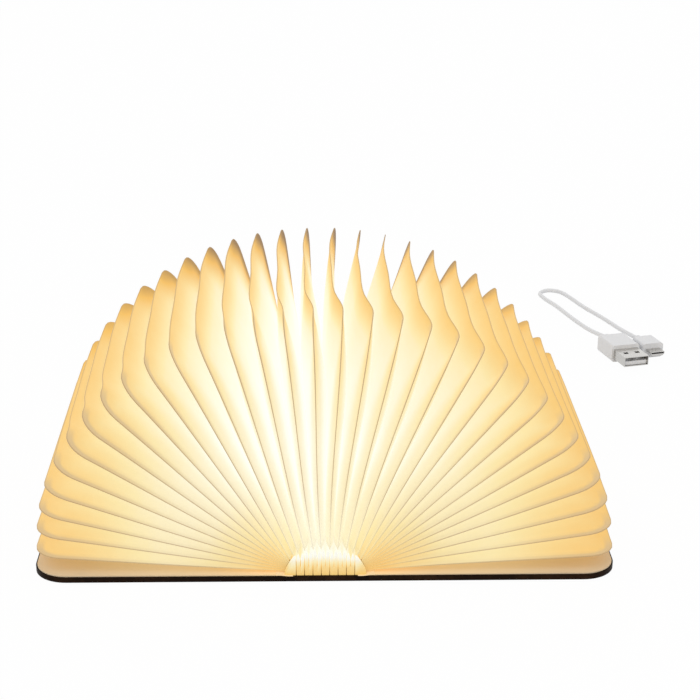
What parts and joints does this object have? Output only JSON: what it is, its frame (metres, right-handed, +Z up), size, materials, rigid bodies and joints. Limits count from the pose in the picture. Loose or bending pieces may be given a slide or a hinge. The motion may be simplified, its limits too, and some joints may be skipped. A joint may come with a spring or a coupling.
{
  "type": "folding book lamp",
  "caption": "Book-shaped lamp with two dark hinged covers that open flat, a half-round fan of lit paper leaves, a light bar along the spine and a loose charging lead.",
  "frame": {"origin": "under the middle of the spine, on the surface that the open lamp lies on", "axes": "+X from the left cover to the right cover, +Z up, the pictured front towards -Y, the charging socket towards +Y"},
  "size_m": [0.2664, 0.328, 0.0964],
  "materials": {
    "dark_board": "dark walnut veneer, satin lacquer",
    "liner_paper": "cream lining paper, matt",
    "magnet_steel": "nickel plated",
    "hinge_strip": "dark brown bonded strip, pressed crease",
    "lit_paper": "white synthetic paper lit warm from inside, matt",
    "white_plastic": "moulded, matt",
    "diffuser_plastic": "opal, lit",
    "white_pcb": "white solder mask",
    "led_phosphor": "yellow phosphor",
    "cell_foil": "foil pouch",
    "green_pcb": "green solder mask",
    "plug_steel": "nickel plated, pressed",
    "indicator_lens": "clear lens",
    "black_chip": "moulded",
    "lead_sheath": "pale grey sheath, satin",
    "grip_plastic": "pale grey moulding, fine spark texture"
  },
  "bodies": {
    "spine": {"spine_board": "dark_board", "left_hinge_strip": "hinge_strip", "right_hinge_strip": "hinge_strip", "bar_channel": "white_plastic", "light_diffuser": "diffuser_plastic", "led_board": "white_pcb", "led_chips": "led_phosphor", "battery_cell": "cell_foil", "charge_board": "green_pcb", "usb_socket": "plug_steel", "charge_indicator": "indicator_lens", "hall_sensor": "black_chip", "front_end_cap": "white_plastic", "rear_end_cap": "white_plastic", "left_pleat_foot": "lit_paper", "right_pleat_foot": "lit_paper", "charge_cable": "lead_sheath", "usb_a_overmold": "grip_plastic", "usb_a_shell": "plug_steel", "micro_usb_overmold": "grip_plastic", "micro_usb_shell": "plug_steel"},
    "left_cover": {"left_cover_board": "dark_board", "left_liner": "liner_paper", "left_cover_magnets": "magnet_steel"},
    "right_cover": {"right_cover_board": "dark_board", "right_liner": "liner_paper", "right_cover_magnets": "magnet_steel"},
    "left_leaf_01": {"left_leaf_01": "lit_paper"},
    "left_leaf_02": {"left_leaf_02": "lit_paper"},
    "left_leaf_03": {"left_leaf_03": "lit_paper"},
    "left_leaf_04": {"left_leaf_04": "lit_paper"},
    "left_leaf_05": {"left_leaf_05": "lit_paper"},
    "left_leaf_06": {"left_leaf_06": "lit_paper"},
    "left_leaf_07": {"left_leaf_07": "lit_paper"},
    "left_leaf_08": {"left_leaf_08": "lit_paper"},
    "left_leaf_09": {"left_leaf_09": "lit_paper"},
    "left_leaf_10": {"left_leaf_10": "lit_paper"},
    "left_leaf_11": {"left_leaf_11": "lit_paper"},
    "left_leaf_12": {"left_leaf_12": "lit_paper"},
    "left_leaf_13": {"left_leaf_13": "lit_paper"},
    "left_leaf_14": {"left_leaf_14": "lit_paper"},
    "left_leaf_15": {"left_leaf_15": "lit_paper"},
    "left_leaf_16": {"left_leaf_16": "lit_paper"},
    "right_leaf_01": {"right_leaf_01": "lit_paper"},
    "right_leaf_02": {"right_leaf_02": "lit_paper"},
    "right_leaf_03": {"right_leaf_03": "lit_paper"},
    "right_leaf_04": {"right_leaf_04": "lit_paper"},
    "right_leaf_05": {"right_leaf_05": "lit_paper"},
    "right_leaf_06": {"right_leaf_06": "lit_paper"},
    "right_leaf_07": {"right_leaf_07": "lit_paper"},
    "right_leaf_08": {"right_leaf_08": "lit_paper"},
    "right_leaf_09": {"right_leaf_09": "lit_paper"},
    "right_leaf_10": {"right_leaf_10": "lit_paper"},
    "right_leaf_11": {"right_leaf_11": "lit_paper"},
    "right_leaf_12": {"right_leaf_12": "lit_paper"},
    "right_leaf_13": {"right_leaf_13": "lit_paper"},
    "right_leaf_14": {"right_leaf_14": "lit_paper"},
    "right_leaf_15": {"right_leaf_15": "lit_paper"},
    "right_leaf_16": {"right_leaf_16": "lit_paper"}
  },
  "joints": [
    {"name": "left_cover_hinge", "type": "hinge", "parent": "spine", "child": "left_cover", "pos_m": [-0.013, 0, 0.001], "axis": [0, 1, 0], "range_deg": [-90, 90], "deforming": ["left_hinge_strip", "left_pleat_foot"]},
    {"name": "right_cover_hinge", "type": "hinge", "parent": "spine", "child": "right_cover", "pos_m": [0.013, 0, 0.001], "axis": [0, -1, 0], "range_deg": [-90, 90], "deforming": ["right_hinge_strip", "right_pleat_foot"]},
    {"name": "left_leaf_01_fold", "type": "hinge", "parent": "spine", "child": "left_leaf_01", "pos_m": [-0.013, 0, 0.001], "axis": [0, 1, 0], "range_deg": [-87.59, 87.59]},
    {"name": "left_leaf_02_fold", "type": "hinge", "parent": "spine", "child": "left_leaf_02", "pos_m": [-0.013, 0, 0.001], "axis": [0, 1, 0], "range_deg": [-81.98, 81.98]},
    {"name": "left_leaf_03_fold", "type": "hinge", "parent": "spine", "child": "left_leaf_03", "pos_m": [-0.013, 0, 0.001], "axis": [0, 1, 0], "range_deg": [-76.36, 76.36]},
    {"name": "left_leaf_04_fold", "type": "hinge", "parent": "spine", "child": "left_leaf_04", "pos_m": [-0.013, 0, 0.001], "axis": [0, 1, 0], "range_deg": [-70.71, 70.71]},
    {"name": "left_leaf_05_fold", "type": "hinge", "parent": "spine", "child": "left_leaf_05", "pos_m": [-0.013, 0, 0.001], "axis": [0, 1, 0], "range_deg": [-65.02, 65.02]},
    {"name": "left_leaf_06_fold", "type": "hinge", "parent": "spine", "child": "left_leaf_06", "pos_m": [-0.013, 0, 0.001], "axis": [0, 1, 0], "range_deg": [-59.29, 59.29]},
    {"name": "left_leaf_07_fold", "type": "hinge", "parent": "spine", "child": "left_leaf_07", "pos_m": [-0.013, 0, 0.001], "axis": [0, 1, 0], "range_deg": [-53.5, 53.5]},
    {"name": "left_leaf_08_fold", "type": "hinge", "parent": "spine", "child": "left_leaf_08", "pos_m": [-0.013, 0, 0.001], "axis": [0, 1, 0], "range_deg": [-47.66, 47.66]},
    {"name": "left_leaf_09_fold", "type": "hinge", "parent": "spine", "child": "left_leaf_09", "pos_m": [-0.013, 0, 0.001], "axis": [0, 1, 0], "range_deg": [-41.77, 41.77]},
    {"name": "left_leaf_10_fold", "type": "hinge", "parent": "spine", "child": "left_leaf_10", "pos_m": [-0.013, 0, 0.001], "axis": [0, 1, 0], "range_deg": [-35.84, 35.84]},
    {"name": "left_leaf_11_fold", "type": "hinge", "parent": "spine", "child": "left_leaf_11", "pos_m": [-0.013, 0, 0.001], "axis": [0, 1, 0], "range_deg": [-29.87, 29.87]},
    {"name": "left_leaf_12_fold", "type": "hinge", "parent": "spine", "child": "left_leaf_12", "pos_m": [-0.013, 0, 0.001], "axis": [0, 1, 0], "range_deg": [-23.88, 23.88]},
    {"name": "left_leaf_13_fold", "type": "hinge", "parent": "spine", "child": "left_leaf_13", "pos_m": [-0.013, 0, 0.001], "axis": [0, 1, 0], "range_deg": [-18.48, 18.48]},
    {"name": "left_leaf_14_fold", "type": "hinge", "parent": "spine", "child": "left_leaf_14", "pos_m": [-0.013, 0, 0.001], "axis": [0, 1, 0], "range_deg": [-13.09, 13.09]},
    {"name": "left_leaf_15_fold", "type": "hinge", "parent": "spine", "child": "left_leaf_15", "pos_m": [-0.013, 0, 0.001], "axis": [0, 1, 0], "range_deg": [-7.73, 7.73]},
    {"name": "left_leaf_16_fold", "type": "hinge", "parent": "spine", "child": "left_leaf_16", "pos_m": [-0.013, 0, 0.001], "axis": [0, 1, 0], "range_deg": [-2.4, 2.4]},
    {"name": "right_leaf_01_fold", "type": "hinge", "parent": "spine", "child": "right_leaf_01", "pos_m": [0.013, 0, 0.001], "axis": [0, -1, 0], "range_deg": [-87.59, 87.59]},
    {"name": "right_leaf_02_fold", "type": "hinge", "parent": "spine", "child": "right_leaf_02", "pos_m": [0.013, 0, 0.001], "axis": [0, -1, 0], "range_deg": [-81.98, 81.98]},
    {"name": "right_leaf_03_fold", "type": "hinge", "parent": "spine", "child": "right_leaf_03", "pos_m": [0.013, 0, 0.001], "axis": [0, -1, 0], "range_deg": [-76.36, 76.36]},
    {"name": "right_leaf_04_fold", "type": "hinge", "parent": "spine", "child": "right_leaf_04", "pos_m": [0.013, 0, 0.001], "axis": [0, -1, 0], "range_deg": [-70.71, 70.71]},
    {"name": "right_leaf_05_fold", "type": "hinge", "parent": "spine", "child": "right_leaf_05", "pos_m": [0.013, 0, 0.001], "axis": [0, -1, 0], "range_deg": [-65.02, 65.02]},
    {"name": "right_leaf_06_fold", "type": "hinge", "parent": "spine", "child": "right_leaf_06", "pos_m": [0.013, 0, 0.001], "axis": [0, -1, 0], "range_deg": [-59.29, 59.29]},
    {"name": "right_leaf_07_fold", "type": "hinge", "parent": "spine", "child": "right_leaf_07", "pos_m": [0.013, 0, 0.001], "axis": [0, -1, 0], "range_deg": [-53.5, 53.5]},
    {"name": "right_leaf_08_fold", "type": "hinge", "parent": "spine", "child": "right_leaf_08", "pos_m": [0.013, 0, 0.001], "axis": [0, -1, 0], "range_deg": [-47.66, 47.66]},
    {"name": "right_leaf_09_fold", "type": "hinge", "parent": "spine", "child": "right_leaf_09", "pos_m": [0.013, 0, 0.001], "axis": [0, -1, 0], "range_deg": [-41.77, 41.77]},
    {"name": "right_leaf_10_fold", "type": "hinge", "parent": "spine", "child": "right_leaf_10", "pos_m": [0.013, 0, 0.001], "axis": [0, -1, 0], "range_deg": [-35.84, 35.84]},
    {"name": "right_leaf_11_fold", "type": "hinge", "parent": "spine", "child": "right_leaf_11", "pos_m": [0.013, 0, 0.001], "axis": [0, -1, 0], "range_deg": [-29.87, 29.87]},
    {"name": "right_leaf_12_fold", "type": "hinge", "parent": "spine", "child": "right_leaf_12", "pos_m": [0.013, 0, 0.001], "axis": [0, -1, 0], "range_deg": [-23.88, 23.88]},
    {"name": "right_leaf_13_fold", "type": "hinge", "parent": "spine", "child": "right_leaf_13", "pos_m": [0.013, 0, 0.001], "axis": [0, -1, 0], "range_deg": [-18.48, 18.48]},
    {"name": "right_leaf_14_fold", "type": "hinge", "parent": "spine", "child": "right_leaf_14", "pos_m": [0.013, 0, 0.001], "axis": [0, -1, 0], "range_deg": [-13.09, 13.09]},
    {"name": "right_leaf_15_fold", "type": "hinge", "parent": "spine", "child": "right_leaf_15", "pos_m": [0.013, 0, 0.001], "axis": [0, -1, 0], "range_deg": [-7.73, 7.73]},
    {"name": "right_leaf_16_fold", "type": "hinge", "parent": "spine", "child": "right_leaf_16", "pos_m": [0.013, 0, 0.001], "axis": [0, -1, 0], "range_deg": [-2.4, 2.4]}
  ],
  "couplings": [
    {"joint": "left_leaf_01_fold", "follows": "left_cover_hinge", "ratio": 0.97307},
    {"joint": "left_leaf_02_fold", "follows": "left_cover_hinge", "ratio": 0.91075},
    {"joint": "left_leaf_03_fold", "follows": "left_cover_hinge", "ratio": 0.84827},
    {"joint": "left_leaf_04_fold", "follows": "left_cover_hinge", "ratio": 0.78549},
    {"joint": "left_leaf_05_fold", "follows": "left_cover_hinge", "ratio": 0.7223},
    {"joint": "left_leaf_06_fold", "follows": "left_cover_hinge", "ratio": 0.65859},
    {"joint": "left_leaf_07_fold", "follows": "left_cover_hinge", "ratio": 0.59431},
    {"joint": "left_leaf_08_fold", "follows": "left_cover_hinge", "ratio": 0.52944},
    {"joint": "left_leaf_09_fold", "follows": "left_cover_hinge", "ratio": 0.46399},
    {"joint": "left_leaf_10_fold", "follows": "left_cover_hinge", "ratio": 0.39804},
    {"joint": "left_leaf_11_fold", "follows": "left_cover_hinge", "ratio": 0.3317},
    {"joint": "left_leaf_12_fold", "follows": "left_cover_hinge", "ratio": 0.26513},
    {"joint": "left_leaf_13_fold", "follows": "left_cover_hinge", "ratio": 0.20519},
    {"joint": "left_leaf_14_fold", "follows": "left_cover_hinge", "ratio": 0.1453},
    {"joint": "left_leaf_15_fold", "follows": "left_cover_hinge", "ratio": 0.08569},
    {"joint": "left_leaf_16_fold", "follows": "left_cover_hinge", "ratio": 0.02653},
    {"joint": "right_leaf_01_fold", "follows": "right_cover_hinge", "ratio": 0.97307},
    {"joint": "right_leaf_02_fold", "follows": "right_cover_hinge", "ratio": 0.91075},
    {"joint": "right_leaf_03_fold", "follows": "right_cover_hinge", "ratio": 0.84827},
    {"joint": "right_leaf_04_fold", "follows": "right_cover_hinge", "ratio": 0.78549},
    {"joint": "right_leaf_05_fold", "follows": "right_cover_hinge", "ratio": 0.7223},
    {"joint": "right_leaf_06_fold", "follows": "right_cover_hinge", "ratio": 0.65859},
    {"joint": "right_leaf_07_fold", "follows": "right_cover_hinge", "ratio": 0.59431},
    {"joint": "right_leaf_08_fold", "follows": "right_cover_hinge", "ratio": 0.52944},
    {"joint": "right_leaf_09_fold", "follows": "right_cover_hinge", "ratio": 0.46399},
    {"joint": "right_leaf_10_fold", "follows": "right_cover_hinge", "ratio": 0.39804},
    {"joint": "right_leaf_11_fold", "follows": "right_cover_hinge", "ratio": 0.3317},
    {"joint": "right_leaf_12_fold", "follows": "right_cover_hinge", "ratio": 0.26513},
    {"joint": "right_leaf_13_fold", "follows": "right_cover_hinge", "ratio": 0.20519},
    {"joint": "right_leaf_14_fold", "follows": "right_cover_hinge", "ratio": 0.1453},
    {"joint": "right_leaf_15_fold", "follows": "right_cover_hinge", "ratio": 0.08569},
    {"joint": "right_leaf_16_fold", "follows": "right_cover_hinge", "ratio": 0.02653}
  ]
}
